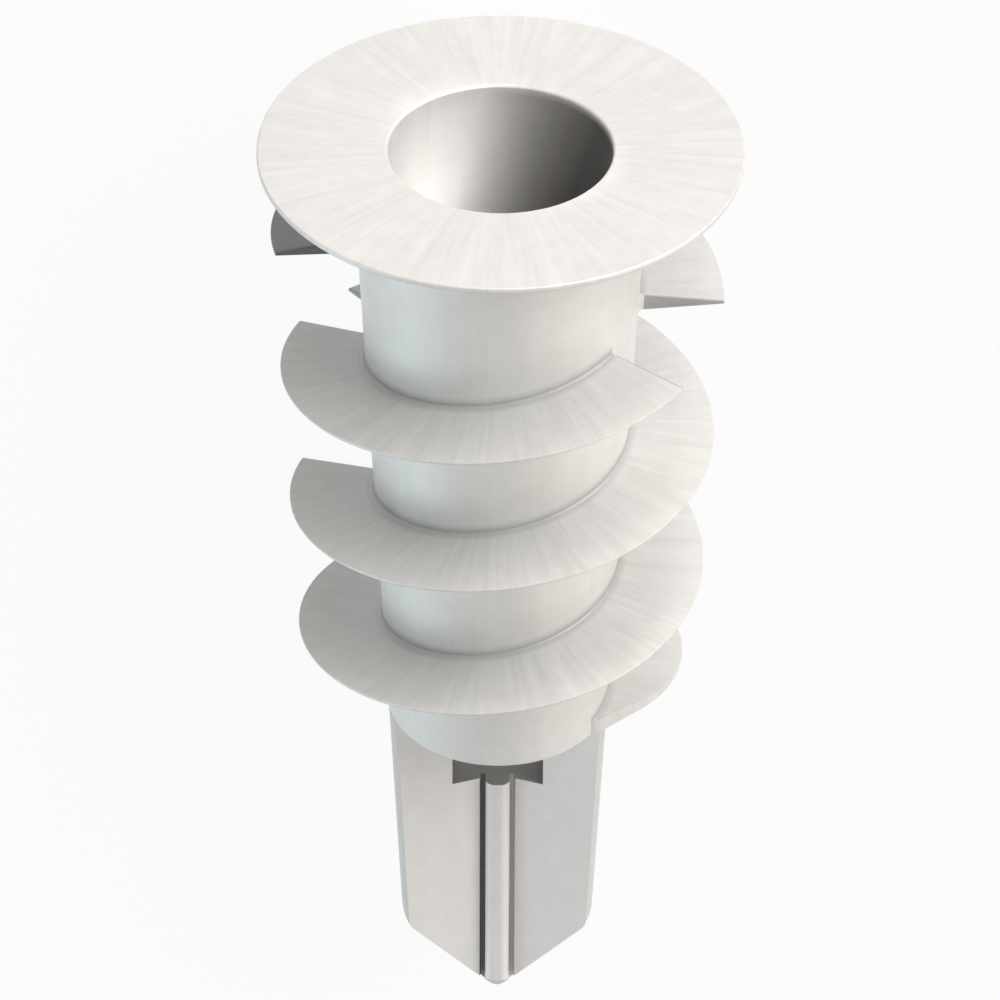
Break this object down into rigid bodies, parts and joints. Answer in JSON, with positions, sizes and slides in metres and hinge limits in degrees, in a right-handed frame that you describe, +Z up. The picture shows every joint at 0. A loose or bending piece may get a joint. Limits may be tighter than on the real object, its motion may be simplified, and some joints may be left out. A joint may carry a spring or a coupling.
{
  "type": "self-drilling drywall anchor",
  "caption": "One-piece metal wall anchor with a wide flange, a tapered barrel, a coarse broken thread and a flat drill point.",
  "frame": {"origin": "centre of the bounding box's base, on the surface that the anchor lies on", "axes": "+Z up; the anchor's axis runs along Y, flange towards +Y and drill point towards -Y, raised at the flange by the slope at which it rests"},
  "size_m": [0.014, 0.0324, 0.014],
  "materials": {
    "zinc": "satin"
  },
  "bodies": {
    "root": {"anchor_body": "zinc"}
  },
  "joints": []
}
